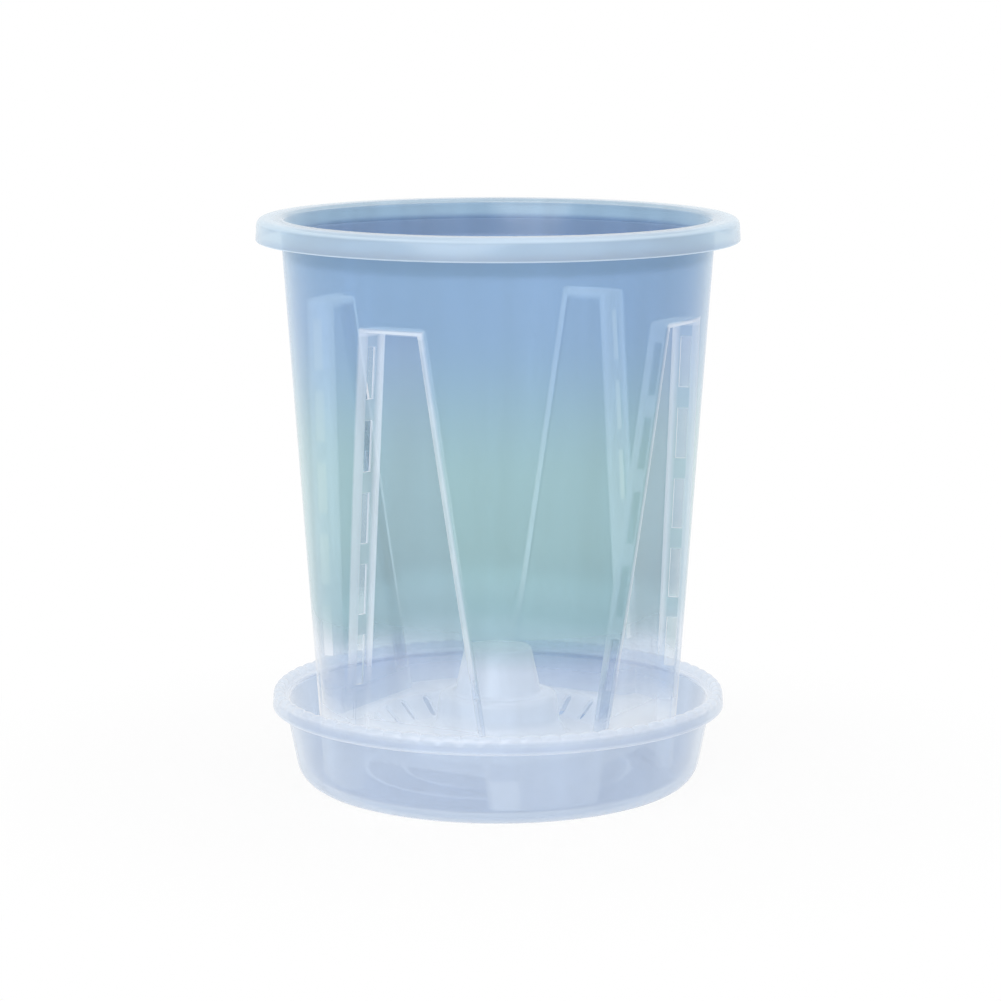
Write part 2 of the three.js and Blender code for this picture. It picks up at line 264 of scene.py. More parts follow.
# %% [markdown]
# Milk is what the crystals scatter. It pales the tint, and it hides more of what is behind the
# plastic the more the skin is seen from the side. Rays that only carry light or a reflection
# pass the clear part without tint or haze, or else the far wall would be darkened by the near
# one.

# %% The milk
PALE_MILK = 0.8
MILK_GLOW = 0.35
EDGE_POWER = 3.0
THICK_EDGE_HAZE = 0.95
LIGHT_RAYS = ("Is Shadow Ray", "Is Diffuse Ray", "Is Glossy Ray")


def milky_body(tree, tint, milk_colour, milk, facing, passing, hazes):
    """Tinted plastic that is clear where milk is 0 and hazy where it is 1, and more so at its edges."""
    pale = add_node(tree, "MapRange", inputs={"Value": milk, "From Max": PALE_MILK})
    paler = add_node(tree, "Mix", {"data_type": "RGBA"}, {
        0: pale.outputs[0], 6: tint, 7: milk_colour})
    passed = add_node(tree, "Mix", {"data_type": "RGBA"}, {
        0: passing, 6: paler.outputs[2], 7: linear("#ffffff")})
    clear = add_node(tree, "BsdfTransparent", inputs={"Color": passed.outputs[2]})
    white = add_node(tree, "BsdfDiffuse", inputs={"Color": milk_colour})
    glow = add_node(tree, "BsdfTranslucent", inputs={"Color": milk_colour})
    milky = add_node(tree, "MixShader", inputs={
        0: MILK_GLOW, 1: white.outputs[0], 2: glow.outputs[0]})
    edge = add_node(tree, "Math", {"operation": "POWER"}, {0: facing, 1: EDGE_POWER})
    thin = add_node(tree, "MapRange", inputs={
        "Value": edge.outputs[0], "To Min": hazes["clear"], "To Max": hazes["edge"]})
    thick = add_node(tree, "MapRange", inputs={
        "Value": edge.outputs[0], "To Min": hazes["milk"], "To Max": THICK_EDGE_HAZE})
    seen = add_node(tree, "MapRange", inputs={
        "Value": passing, "To Min": thin.outputs[0], "To Max": 0.0})
    haze = add_node(tree, "MapRange", inputs={
        "Value": milk, "To Min": seen.outputs[0], "To Max": thick.outputs[0]})
    return add_node(tree, "MixShader", inputs={
        0: haze.outputs[0], 1: clear.outputs[0], 2: milky.outputs[0]}).outputs[0]


print("share of the milk's light that glows through:", MILK_GLOW)

# %% [markdown]
# Milk and matt are counted only on the skin that faces the eye, so a side face can be less milky
# from outside than from inside. Over them lies the plastic's gloss, weak head on and strong at
# grazing angles.

# %% The whole plastic
PP_IOR = 1.49
PP_MIRROR = ((PP_IOR - 1) / (PP_IOR + 1)) ** 2
GRAZING_MIRROR = 0.7
MIRROR_POWER = 5.0


def clear_polypropylene(name, tints, milk_colours, hazes, matt_colours, matt_share, roughness):
    """Moulded clear plastic: the tint of one skin, its milk and its matt share, coloured by height."""
    material = bpy.data.materials.new(name)
    material.use_nodes = True
    tree = material.node_tree
    tree.nodes.clear()
    place = add_node(tree, "TexCoord").outputs["Object"]
    height = add_node(tree, "SeparateXYZ", inputs={0: place}).outputs["Z"]
    facing = add_node(tree, "LayerWeight").outputs["Facing"]
    passing = is_any_ray(tree, LIGHT_RAYS)
    back = add_node(tree, "NewGeometry").outputs["Backfacing"]
    front = add_node(tree, "Math", {"operation": "SUBTRACT"}, {0: 1.0, 1: back})
    mesh_milk = add_node(tree, "Attribute", {"attribute_name": "milk"})
    milk = add_node(tree, "Math", {"operation": "MULTIPLY"}, {
        0: mesh_milk.outputs["Fac"], 1: front.outputs[0]})
    tint = with_painted_reflections(tree, place, colour_by_height(tree, height, tints))
    milk_colour = colour_by_height(tree, height, milk_colours)
    body = milky_body(tree, tint, milk_colour, milk.outputs[0], facing, passing, hazes)

    unseen = add_node(tree, "Math", {"operation": "MAXIMUM"}, {0: passing, 1: back})
    seen = add_node(tree, "MapRange", inputs={
        "Value": unseen.outputs[0], "To Min": matt_share, "To Max": 0.0})
    mesh_matt = add_node(tree, "Attribute", {"attribute_name": "matt"})
    frost = add_node(tree, "Math", {"operation": "MULTIPLY"}, {
        0: seen.outputs[0], 1: mesh_matt.outputs["Fac"]})
    blasted = add_node(tree, "BsdfDiffuse", inputs={
        "Color": colour_by_height(tree, height, matt_colours)})
    skin = add_node(tree, "MixShader", inputs={
        0: frost.outputs[0], 1: body, 2: blasted.outputs[0]})

    grazing = add_node(tree, "Math", {"operation": "POWER"}, {0: facing, 1: MIRROR_POWER})
    mirror = add_node(tree, "MapRange", inputs={
        "Value": grazing.outputs[0], "To Min": PP_MIRROR, "To Max": GRAZING_MIRROR})
    gloss = add_node(tree, "BsdfGlossy", inputs={
        "Color": linear("#ffffff"), "Roughness": roughness})
    whole = add_node(tree, "MixShader", inputs={
        0: mirror.outputs[0], 1: skin.outputs[0], 2: gloss.outputs[0]})
    add_node(tree, "OutputMaterial", inputs={"Surface": whole.outputs[0]})
    return material


print("polypropylene mirrors", round(PP_MIRROR, 3), "of the light head on")

# %% Bounces
# A line of sight crosses many skins, and light goes to and fro between milky ones.
cycles = bpy.context.scene.cycles
cycles.transparent_max_bounces = 64
cycles.max_bounces = 16
cycles.diffuse_bounces = 12
print("skins that a ray can cross:", cycles.transparent_max_bounces)

# %% [markdown]
# ## Outlines with rounded corners
#
# Both mouldings are mostly shapes of revolution, so their profiles are written as a few corners,
# each with its distance from the axis, its height and a rounding. A bevel modifier could round
# the corners afterwards, but true arcs in the profile keep the mesh in clean quads. A second
# function moves a profile by a wall's thickness.

# %% Outlines with rounded corners
ARC_STEP = math.radians(15)
LEAST_MITRE = 0.3


def rounded_path(corners):
    """Points (radius, height) along [radius, height, rounding] corners, with each rounding as an arc."""
    points = [Vector(c[:2]) for c in corners]
    path = [points[0]]
    for before, corner, after, spec in zip(points, points[1:], points[2:], corners[1:]):
        if len(spec) < 3 or spec[2] == 0:
            path.append(corner)
            continue
        back = (before - corner).normalized()
        ahead = (after - corner).normalized()
        opening = back.angle(ahead)
        middle = corner + (back + ahead).normalized() * (spec[2] / math.sin(opening / 2))
        reach = spec[2] / math.tan(opening / 2)
        start = corner + back * reach - middle
        turn = (corner + ahead * reach - middle).angle_signed(start)
        steps = max(1, math.ceil(abs(turn) / ARC_STEP))
        for i in range(steps + 1):
            spin = turn * i / steps
            path.append(middle + Vector((
                start.x * math.cos(spin) - start.y * math.sin(spin),
                start.x * math.sin(spin) + start.y * math.cos(spin))))
    path.append(points[-1])
    return path


def moved_path(path, distance):
    """A path moved to its right by a distance."""
    runs = [(b - a).normalized() for a, b in zip(path, path[1:])]
    moved = []
    for i, point in enumerate(path):
        before, after = runs[max(i - 1, 0)], runs[min(i, len(runs) - 1)]
        side = (Vector((before.y, -before.x)) + Vector((after.y, -after.x))).normalized()
        mitre = max(side.dot(Vector((after.y, -after.x))), LEAST_MITRE)
        moved.append(point + side * (distance / mitre))
    return moved


test_path = rounded_path([(0, 0), (10, 0, 2), (10, 10)])
print("a corner in", len(test_path), "points, its arc ends at", [round(v, 3) for v in test_path[-2]])

# %% [markdown]
# ## The pot's wall and its indents
#
# The wall is a cone frustum that is folded in at four places. At any height its outline runs
# along a leg's arc, round a fold, in along the indent's side face, round a second fold and across
# the flat back. All heights have the same columns of points, so the outlines join up as a grid
# of quads. The air slots and the open mouths at the foot are whole cells of that grid, which are
# left out. Boolean cuts could make them too, but would leave ragged triangles that show in clear
# plastic.

# %% Sizes of the wall
rim_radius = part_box("pot")[1].x / MM
foot_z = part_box("pot")[0].z / MM
RIM_REACH = 8.0
POT_WALL = 1.2
POT_TAPER = math.tan(math.radians(4.016))
INDENT_COUNT = 4
INDENT_DROP = 32.0
INDENT_TOP_WIDTH = 15.0
INDENT_FOOT_WIDTH = 49.2
INDENT_TOP_DEPTH = 8.1
INDENT_FOOT_DEPTH = 12.0
INDENT_DRAFT = math.tan(math.radians(15.2))
MOUTH_HEIGHT = 9.5
INNER_FOLD = 0.6
OUTER_FOLD = 1.8
roof_z = rim_top_z - INDENT_DROP


def wall_radius(z):
    """The outside radius of the pot's wall at a height."""
    return rim_radius - RIM_REACH - (rim_top_z - z) * POT_TAPER


def indent_back(z):
    """How far an indent's flat back is from the axis at a height, and half its width."""
    share = (z - foot_z) / (roof_z - foot_z)
    foot_reach = wall_radius(foot_z) - INDENT_FOOT_DEPTH
    top_reach = wall_radius(roof_z) - INDENT_TOP_DEPTH
    reach = foot_reach + (top_reach - foot_reach) * share
    width = INDENT_FOOT_WIDTH + (INDENT_TOP_WIDTH - INDENT_FOOT_WIDTH) * share
    return reach, width / 2


print("wall radius at foot and rim:", [round(wall_radius(z), 2) for z in (foot_z, rim_top_z)])

# %% One half of an indent's outline
AIR_SLOT_WIDTH = 3.5
BACK_STEPS = 6
FOLD_STEPS = 4
LEG_STEPS = 8
PAD_SHARE = 0.47
PAD_STEP_SHARE = 0.03
LEG_FADE = 0.03
FOLD_BAND = 0.6
FOLD_FADE = 0.4

leg_shares = [LEG_FADE] + [PAD_SHARE * i / LEG_STEPS for i in range(1, LEG_STEPS + 1)]
rest_share = PAD_SHARE + PAD_STEP_SHARE
leg_shares += [rest_share + (1 - rest_share) * i / LEG_STEPS for i in range(LEG_STEPS + 1)]
cell_kinds = ["back"] * (BACK_STEPS + 1) + ["inner fold"] * (FOLD_STEPS + 1)
cell_kinds += ["side", "slot", "side"] + ["outer fold"] * FOLD_STEPS
cell_kinds += ["pad"] * (LEG_STEPS + 1) + ["leg"] * (LEG_STEPS + 1)


def half_outline(z):
    """Points outside with their normals, from the middle of the indent on +X to the leg's middle."""
    reach, half = indent_back(z)
    radius = wall_radius(z)
    along = Vector((1, INDENT_DRAFT)).normalized()
    facing = Vector((along.y, -along.x))
    corner = Vector((reach, half))
    run = INNER_FOLD * math.tan(math.acos(along.y) / 2)
    hollow = corner + along * run + facing * INNER_FOLD
    behind = corner - facing * OUTER_FOLD
    ahead = -behind.dot(along)
    ahead += math.sqrt(behind.dot(along) ** 2 - behind.length_squared + (radius - OUTER_FOLD) ** 2)
    knuckle = behind + along * ahead
    side_turn = math.atan2(facing.y, facing.x)
    wall_turn = math.atan2(knuckle.y, knuckle.x)
    plain = half - run - FOLD_BAND - FOLD_FADE
    across = [plain * i / BACK_STEPS for i in range(BACK_STEPS + 1)]
    across += [half - run - FOLD_BAND, half - run]
    outline = [(Vector((reach, y)), Vector((1, 0))) for y in across]
    for i in range(1, FOLD_STEPS + 1):
        spin = side_turn * i / FOLD_STEPS
        normal = Vector((math.cos(spin), math.sin(spin)))
        outline.append((hollow - normal * INNER_FOLD, normal))
    sharp_end = behind + facing * OUTER_FOLD + along * ahead
    slot_middle = (corner + sharp_end) / 2 + along * (OUTER_FOLD / 2)
    for edge in (-AIR_SLOT_WIDTH / 2, AIR_SLOT_WIDTH / 2):
        outline.append((slot_middle + along * edge, facing))
    for i in range(FOLD_STEPS + 1):
        spin = side_turn + (wall_turn - side_turn) * i / FOLD_STEPS
        normal = Vector((math.cos(spin), math.sin(spin)))
        outline.append((knuckle + normal * OUTER_FOLD, normal))
    for share in leg_shares:
        spin = wall_turn + (math.pi / INDENT_COUNT - wall_turn) * share
        normal = Vector((math.cos(spin), math.sin(spin)))
        outline.append((normal * radius, normal))
    return outline


print("columns in half an indent:", len(half_outline(roof_z)), "cells:", len(cell_kinds))

# %% The whole outline
def whole_outline(half):
    """The ring of (point, normal), from half an outline mirrored and turned to every indent."""
    mirrored = [(Vector((p.x, -p.y)), Vector((n.x, -n.y))) for p, n in reversed(half[1:])]
    quarter = mirrored + half[:-1]
    ring = []
    for i in range(INDENT_COUNT):
        spin = 2 * math.pi * i / INDENT_COUNT
        turn = ((math.cos(spin), -math.sin(spin)), (math.sin(spin), math.cos(spin)))
        for pair in quarter:
            ring.append(tuple(Vector((r[0] * v.x + r[1] * v.y for r in turn)) for v in pair))
    return ring


mirrored_kinds = ["far pad" if kind == "pad" else kind for kind in reversed(cell_kinds)]
ring_kinds = (mirrored_kinds + cell_kinds) * INDENT_COUNT
roof_ring = whole_outline(half_outline(roof_z))
roof_points = [point for point, normal in roof_ring]


def open_angle(index):
    """The angle at which a column goes on up the plain wall above the indents."""
    point = roof_points[index]
    quarter = 2 * math.pi / INDENT_COUNT
    indent = round(math.atan2(point.y, point.x) / quarter) * quarter
    across = point.y * math.cos(indent) - point.x * math.sin(indent)
    along = point.x * math.cos(indent) + point.y * math.sin(indent)
    if point.length > wall_radius(roof_z) - INNER_FOLD:
        return indent + math.atan2(across, along)
    return indent + math.asin(across / wall_radius(roof_z))


open_angles = [open_angle(i) for i in range(len(roof_ring))]
print("columns round the pot:", len(roof_ring))

# %% [markdown]
# The grid's rows lie at the edges of the mouths, of the floor's ledge and of the air slots. A few
# more are there because milk and matt change with height and are kept in the vertices.

# %% Heights of the grid's rows
AIR_SLOT_HEIGHT = 17.0
AIR_SLOT_GAP = 7.0
AIR_SLOT_TOP_MARGIN = 5.0
AIR_SLOT_COUNT = 5
FOOT_HEIGHT = 9.5
FOOT_WALL = 3.2
FLOOR_WALL = 1.2
DISH_RISE = 10.6
LEDGE_RISE = 7.0
EDGE = 0.4
GRADE_ROWS = [34.0, 46.0, 50.0, 61.0]
UNDER_ROOF = 1.6

dish_z = foot_z + DISH_RISE
ledge_z = dish_z + LEDGE_RISE
slot_pitch = AIR_SLOT_HEIGHT + AIR_SLOT_GAP
slot_tops = [roof_z - AIR_SLOT_TOP_MARGIN - i * slot_pitch for i in range(AIR_SLOT_COUNT)]
slot_rows = sorted([z - AIR_SLOT_HEIGHT for z in slot_tops] + slot_tops)
row_heights = [foot_z, foot_z + MOUTH_HEIGHT, foot_z + MOUTH_HEIGHT + EDGE]
row_heights += [ledge_z - FLOOR_WALL, ledge_z]
row_heights += sorted(GRADE_ROWS + slot_rows) + [roof_z - UNDER_ROOF]
slot_span = [round(z, 1) for z in (slot_rows[0], slot_rows[-1])]
print(len(row_heights), "rows below the roof, slots between", slot_span)

# %% [markdown]
# The grid has an outer skin and an inner skin, one wall's thickness apart, and each vertex has
# its milk and matt. Folds, roofs and side faces are milky, and so is the foot below the floor's
# ledge. On the folds, and inside the side faces, the milk is partly painted highlight. Just above
# the ledge the folds are fainter and the outside is clear, and the inside has the matt share
# there. At the foot, a pad on one half of each leg is thicker and milky.

# %% Milk and matt of the wall
# The folds' milk is partly painted highlight and partly real whitening of the folded plastic; the higher
# milk on the side faces' inner skin is partly painted light.
MILK_AND_HIGHLIGHT = {  # as seen from outside and from inside
    "back": (0.1, 0.05),
    "inner fold": (0.65, 1.0),
    "side": (0.26, 0.9),
    "slot": (0.26, 0.9),
    "outer fold": (0.5, 0.9),
    "pad": (0.0, 0.0),
    "far pad": (0.0, 0.0),
    "leg": (0.0, 0.0),
}
PAD_MILK = 1.0
FOOT_MILK = 0.6
LOW_FOLD = 0.15  # what is left of a fold's milk low down
FOLD_RISE = (38.0, 58.0)
BACK_MATT = 0.7
MATT_RISE = (50.0, 64.0)
INSIDE_MATT = 2.4  # times the plastic's matt share
INSIDE_RISE = (38.0, 46.0)


def rise_of(z, heights):
    """0 below the first height and 1 above the second, with a smooth change between them."""
    share = max(min((z - heights[0]) / (heights[1] - heights[0]), 1.0), 0.0)
    return share * share * (3 - 2 * share)


def column_milk(index, z, skin):
    """How milky a column is on a skin, from the cells on both sides of it and its height."""
    fold = max(MILK_AND_HIGHLIGHT[ring_kinds[index - 1]][skin], MILK_AND_HIGHLIGHT[ring_kinds[index]][skin])
    faded = fold * (LOW_FOLD + (1 - LOW_FOLD) * rise_of(z, FOLD_RISE))
    return max(faded, FOOT_MILK) if z <= ledge_z else faded


def column_matt(index, z, milk):
    """How matt a column is outside and inside, where it isn't milky."""
    is_back = ring_kinds[index - 1] == ring_kinds[index] == "back"
    outside = (BACK_MATT if is_back else 1.0) * rise_of(z, MATT_RISE)
    inside = INSIDE_MATT * rise_of(z, INSIDE_RISE) * (1 - rise_of(z, MATT_RISE))
    return outside * (1 - milk[0]), inside * (1 - milk[1])


print("a fold's milk at the ledge:", round(column_milk(ring_kinds.index("inner fold"), ledge_z, 0), 2))

# %% Rows of the outer and inner skin
def wall_row(z):
    """The outer and inner points of the row at a height below the roof, with their milk and matt."""
    outer, inner = [], []
    for i, (point, normal) in enumerate(whole_outline(half_outline(z))):
        is_foot = "pad" in (ring_kinds[i - 1], ring_kinds[i]) and z <= foot_z + FOOT_HEIGHT
        thickness = FOOT_WALL if is_foot else POT_WALL
        milk = [max(column_milk(i, z, skin), PAD_MILK if is_foot else 0.0) for skin in (0, 1)]
        matt = column_matt(i, z, milk)
        back = point - normal * thickness
        outer.append((point.x, point.y, z, milk[0], matt[0]))
        inner.append((back.x, back.y, z, milk[1], matt[1]))
    return outer, inner


def plain_row(radius, z, milk, matt):
    """A row of points on a circle, in the columns of the wall."""
    return [(radius * math.cos(a), radius * math.sin(a), z, milk, matt) for a in open_angles]


print("points in a row:", len(wall_row(roof_z)[0]))

# %% [markdown]
# At an indent's roof the columns of the indent step out to the plain wall, and above it all
# columns run straight up to the rim. Four rows close together make the roof, so that it is level
# and its edges are crisp.

# %% Rows of the roofs
ROOF_EDGE = 0.8
ROOF_BEND = 0.3
ROOF_MILK = (0.65, 0.9)
ROOF_ROWS = [  # a leg's rise over the roof, an indent's outside and inside, share of the way out
    (-ROOF_EDGE, -ROOF_EDGE, POT_WALL - ROOF_EDGE, 0.0),
    (-ROOF_BEND, 0.0, POT_WALL, 0.08),
    (ROOF_BEND, 0.0, POT_WALL, 0.92),
    (ROOF_EDGE, ROOF_EDGE, POT_WALL + ROOF_EDGE, 1.0),
]
LEG_KINDS = ("pad", "far pad", "leg")


def roof_row(leg_rise, outer_rise, inner_rise, share):
    """The outer and inner points of a row across the indents' roofs."""
    rows = [], []
    for row, rise, skin in zip(rows, (outer_rise, inner_rise), (0.0, POT_WALL)):
        for i, (point, normal) in enumerate(roof_ring):
            on_leg = ring_kinds[i - 1] in LEG_KINDS and ring_kinds[i] in LEG_KINDS
            z = roof_z + (leg_rise if on_leg else rise)
            radius = wall_radius(z) - skin
            end = Vector((math.cos(open_angles[i]), math.sin(open_angles[i]))) * radius
            start = point - normal * skin
            place = end if on_leg else start.lerp(end, share)
            milk = 0.0 if on_leg else ROOF_MILK[1 if skin else 0]
            row.append((place.x, place.y, z, milk, 0.0 if skin else 1 - milk))
    return rows


print("roof rows:", len(ROOF_ROWS))

# %% [markdown]
# ## The rim
#
# The rim is a flange with a turned-down skirt, a little thicker than the wall, so it looks
# milkier. It is milkiest along its top rounding and the skirt's lower edge, which is painted
# highlight. Its profile carries on from the outer skin, over the rim and down to the inner skin.
# It could be a separate ring, but on the real pot it is the same moulding.

# %% The rim's profile
RIM_DEPTH = 7.6
RIM_WALL = 1.5
RIM_ROUND = 2.6
RIM_DRAFT = 0.4
SKIRT_EDGE_ROUND = 0.5
RIM_MILK = 0.5
RIM_EDGE_MILK_AND_HIGHLIGHT = 0.75
PLAIN_RISES = (1.8, 7.0, 14.0)

flange_z = rim_top_z - RIM_WALL
skirt_z = rim_top_z - RIM_DEPTH
below_z = skirt_z - RIM_WALL
rim_path = rounded_path([
    (wall_radius(below_z), below_z),
    (wall_radius(flange_z), flange_z, RIM_WALL),
    (rim_radius - RIM_DRAFT - RIM_WALL, flange_z, RIM_ROUND - RIM_WALL),
    (rim_radius - RIM_WALL, skirt_z, SKIRT_EDGE_ROUND),
    (rim_radius, skirt_z, SKIRT_EDGE_ROUND),
    (rim_radius - RIM_DRAFT, rim_top_z, RIM_ROUND),
    (wall_radius(rim_top_z) - POT_WALL, rim_top_z, RIM_WALL),
    (wall_radius(below_z) - POT_WALL, below_z),
])
plain_heights = [roof_z + rise for rise in PLAIN_RISES]


def rim_milk(point):
    """How milky the rim is on its profile: clear in the wall, most on its outer edges as painted
    highlight.
    """
    if point.x < wall_radius(point.y) + POT_WALL:
        return 0.0
    is_outer = point.x > rim_radius - RIM_DRAFT - RIM_ROUND
    on_round = is_outer and point.y > rim_top_z - RIM_ROUND / 2
    at_highlit_edge = point.y < skirt_z + SKIRT_EDGE_ROUND or on_round
    return RIM_EDGE_MILK_AND_HIGHLIGHT if at_highlit_edge else RIM_MILK


print("rim profile:", len(rim_path), "points, plain rows at", [round(z, 1) for z in plain_heights])

# %% [markdown]
# ## The floor
#
# The floor is a dish with a hollow two-tier cone in its middle, which lets air in to the roots. A
# ledge joins it to the wall and the indents, and the sloping edge between ledge and dish has a
# ring of drain slots. Its two skins are turned from one profile, and the slots are cells of that
# grid, with edges that are drawn in to round ends.

# %% The floor's profile
LEDGE_WIDTH = 5.4
SLOPE_RUN = 7.0
FLOOR_ROUND = 1.2
CONE_HEIGHT = 31.0
CONE_TOP_RADIUS = 11.2
CONE_NECK_RADIUS = 14.5
CONE_TOP_ROUND = 1.4
CONE_NECK_ROUND = 2.0
SHOULDER_HEIGHT = 15.5
SHOULDER_RADIUS = 19.8
SHOULDER_ROUND = 2.4
SKIRT_HEIGHT = 6.5
SKIRT_RADIUS = 20.6
SKIRT_ROUND = 4.0
CONE_FOOT_RADIUS = 24.0
CONE_FOOT_ROUND = 4.0
DRAIN_SLOT_WIDTH = 2.8
DRAIN_SLOT_MARGIN = 0.4
DRAIN_END_DEGREES = (10, 35, 60, 90)

ledge_radius = indent_back(ledge_z)[0] - POT_WALL - LEDGE_WIDTH
slot_round = DRAIN_SLOT_WIDTH / 2
slot_far = ledge_radius - DRAIN_SLOT_MARGIN
slot_near = ledge_radius - SLOPE_RUN + DRAIN_SLOT_MARGIN
end_shares = [math.sin(math.radians(a)) for a in DRAIN_END_DEGREES]
drain_rows = [slot_far - slot_round * (1 - math.sqrt(1 - s * s)) for s in end_shares]
drain_rows += [slot_near + slot_round * (1 - math.sqrt(1 - s * s)) for s in reversed(end_shares)]
slope_rows = [(r, ledge_z - (ledge_radius - r) * LEDGE_RISE / SLOPE_RUN) for r in drain_rows]
floor_path = rounded_path([
    (ledge_radius + FLOOR_ROUND, ledge_z),
    (ledge_radius, ledge_z, FLOOR_ROUND),
    *slope_rows,
    (ledge_radius - SLOPE_RUN, dish_z, FLOOR_ROUND),
    (CONE_FOOT_RADIUS, dish_z, CONE_FOOT_ROUND),
    (SKIRT_RADIUS, dish_z + SKIRT_HEIGHT, SKIRT_ROUND),
    (SHOULDER_RADIUS, dish_z + SHOULDER_HEIGHT, SHOULDER_ROUND),
    (CONE_NECK_RADIUS, dish_z + SHOULDER_HEIGHT, CONE_NECK_ROUND),
    (CONE_TOP_RADIUS, dish_z + CONE_HEIGHT, CONE_TOP_ROUND),
    (0, dish_z + CONE_HEIGHT),
])
floor_under = moved_path(floor_path, -FLOOR_WALL)
drain_span = [round(r, 1) for r in (slot_near, slot_far)]
print("floor profile:", len(floor_path), "points, drain slots between", drain_span)

# %% Columns of the floor
DRAIN_SLOT_COUNT = 24
POT_COLUMNS_BETWEEN = 7
LEAST_WIDTH_SQUARED = 0.05
ROUNDING_ROOM = 0.1


def drain_half_width(radius):
    """Half the drain slots' width at a radius: round at both ends and even between them."""
    past = max(radius - (slot_far - slot_round), (slot_near + slot_round) - radius, 0.0)
    return math.sqrt(max(slot_round ** 2 - min(past, slot_round) ** 2, LEAST_WIDTH_SQUARED))


def floor_angles(radius, slot_radius):
    """Column angles of the floor at a radius, with two columns on the edges of each drain slot."""
    in_slots = slot_near - ROUNDING_ROOM <= slot_radius <= slot_far + ROUNDING_ROOM
    width = drain_half_width(slot_radius) if in_slots else slot_round
    edge = math.asin(min(width / max(radius, slot_near), 1.0))
    pitch = 2 * math.pi / DRAIN_SLOT_COUNT
    angles = []
    for slot in range(DRAIN_SLOT_COUNT):
        middle = (slot + 0.5) * pitch
        angles.append(middle - edge)
        for i in range(POT_COLUMNS_BETWEEN):
            angles.append(middle + edge + (pitch - 2 * edge) * i / POT_COLUMNS_BETWEEN)
    return angles


print("floor columns:", len(floor_angles(slot_near, slot_near)))

# %% [markdown]
# ## Building the pot
#
# Rows of vertices are joined to quads by three small functions: one makes a row, one joins two
# rows, and one closes the edges of a hole between the outer and the inner skin. A solidify
# modifier could thicken a single skin, but it can't keep the pads, the roofs and the floor's
# junction exact.

# %% Rows, quads and holes
def new_shape():
    """An empty mesh whose vertices carry milk and matt."""
    shape = bmesh.new()
    for number in ("milk", "matt"):
        shape.verts.layers.float.new(number)
    return shape


def add_row(shape, points):
    """New vertices for a row of (x, y, z, milk, matt) points in millimetres."""
    layers = shape.verts.layers.float
    row = []
    for x, y, z, milk, matt in points:
        vert = shape.verts.new((x * MM, y * MM, z * MM))
        vert[layers["milk"]] = milk
        vert[layers["matt"]] = matt
        row.append(vert)
    return row


def join_rows(shape, low, high, skip=()):
    """Quads between two closed rows, leaving out the columns in skip."""
    for i in range(len(low)):
        if i not in skip:
            j = (i + 1) % len(low)
            shape.faces.new((low[i], low[j], high[j], high[i]))


def wall_hole(shape, outer_low, outer_high, inner_low, inner_high, holes, below, above):
    """The edges of a hole between both skins, for each border between an open cell and a kept one."""
    count = len(outer_low)
    for i in holes:
        j = (i + 1) % count
        if (i - 1) % count not in holes:
            shape.faces.new((outer_low[i], outer_high[i], inner_high[i], inner_low[i]))
        if j not in holes:
            shape.faces.new((outer_low[j], inner_low[j], inner_high[j], outer_high[j]))
        if above:
            shape.faces.new((outer_high[i], outer_high[j], inner_high[j], inner_high[i]))
        if below:
            shape.faces.new((outer_low[i], inner_low[i], inner_low[j], outer_low[j]))


pot_shape = new_shape()
print("numbers in each vertex:", pot_shape.verts.layers.float.keys())

# %% The wall's rows
rows = [wall_row(z) for z in row_heights] + [roof_row(*spec) for spec in ROOF_ROWS]
for z in plain_heights:
    outside = plain_row(wall_radius(z), z, 0.0, 1.0)
    rows.append((outside, plain_row(wall_radius(z) - POT_WALL, z, 0.0, 0.0)))
outer_rows = [add_row(pot_shape, outer) for outer, inner in rows]
inner_rows = [add_row(pot_shape, inner) for outer, inner in rows]
rim_rows = []
for i, p in enumerate(rim_path):
    is_wall = i < len(rim_path) / 2 and rim_milk(p) == 0
    rim_rows.append(add_row(pot_shape, plain_row(p.x, p.y, rim_milk(p), 1.0 if is_wall else 0.0)))
print("rows of the wall:", len(rows), "and of the rim:", len(rim_rows))

# %% The wall's faces
mouth_cells = {i for i, kind in enumerate(ring_kinds) if kind in ("back", "inner fold")}
slot_cells = {i for i, kind in enumerate(ring_kinds) if kind == "slot"}
floor_row = row_heights.index(ledge_z - FLOOR_WALL)


def open_cells(i):
    """The columns left open between a row and the next one: the mouths at the foot and the air slots."""
    if i == 0:
        return mouth_cells
    if i + 1 < len(row_heights):
        low, high = row_heights[i:i + 2]
        if any(top - AIR_SLOT_HEIGHT <= low and high <= top for top in slot_tops):
            return slot_cells
    return set()


for i in range(len(rows) - 1):
    holes = open_cells(i)
    below, above = i > 0 and not open_cells(i - 1), not open_cells(i + 1)
    join_rows(pot_shape, outer_rows[i], outer_rows[i + 1], holes)
    if i != floor_row:
        join_rows(pot_shape, inner_rows[i + 1], inner_rows[i], holes)
    wall_hole(pot_shape, outer_rows[i], outer_rows[i + 1], inner_rows[i], inner_rows[i + 1],
              holes, below, above)

join_rows(pot_shape, inner_rows[0], outer_rows[0], mouth_cells)
join_rows(pot_shape, outer_rows[-1], rim_rows[0])
for low, high in zip(rim_rows, rim_rows[1:]):
    join_rows(pot_shape, low, high)
join_rows(pot_shape, rim_rows[-1], inner_rows[-1])
print("wall and rim:", len(pot_shape.faces), "faces")

# %% The floor's faces
FLOOR_MILK = 1.0


def floor_skin(path):
    """Rows of vertices for one skin of the floor, from the ledge to the axis, and its closing point."""
    skin = []
    for point, top in zip(path[:-1], floor_path):
        ring = [(point.x * math.cos(a), point.x * math.sin(a), point.y, FLOOR_MILK, 0.0)
                for a in floor_angles(point.x, top.x)]
        skin.append(add_row(pot_shape, ring))
    pole = add_row(pot_shape, [(0, 0, path[-1].y, FLOOR_MILK, 0.0)])[0]
    return skin, pole


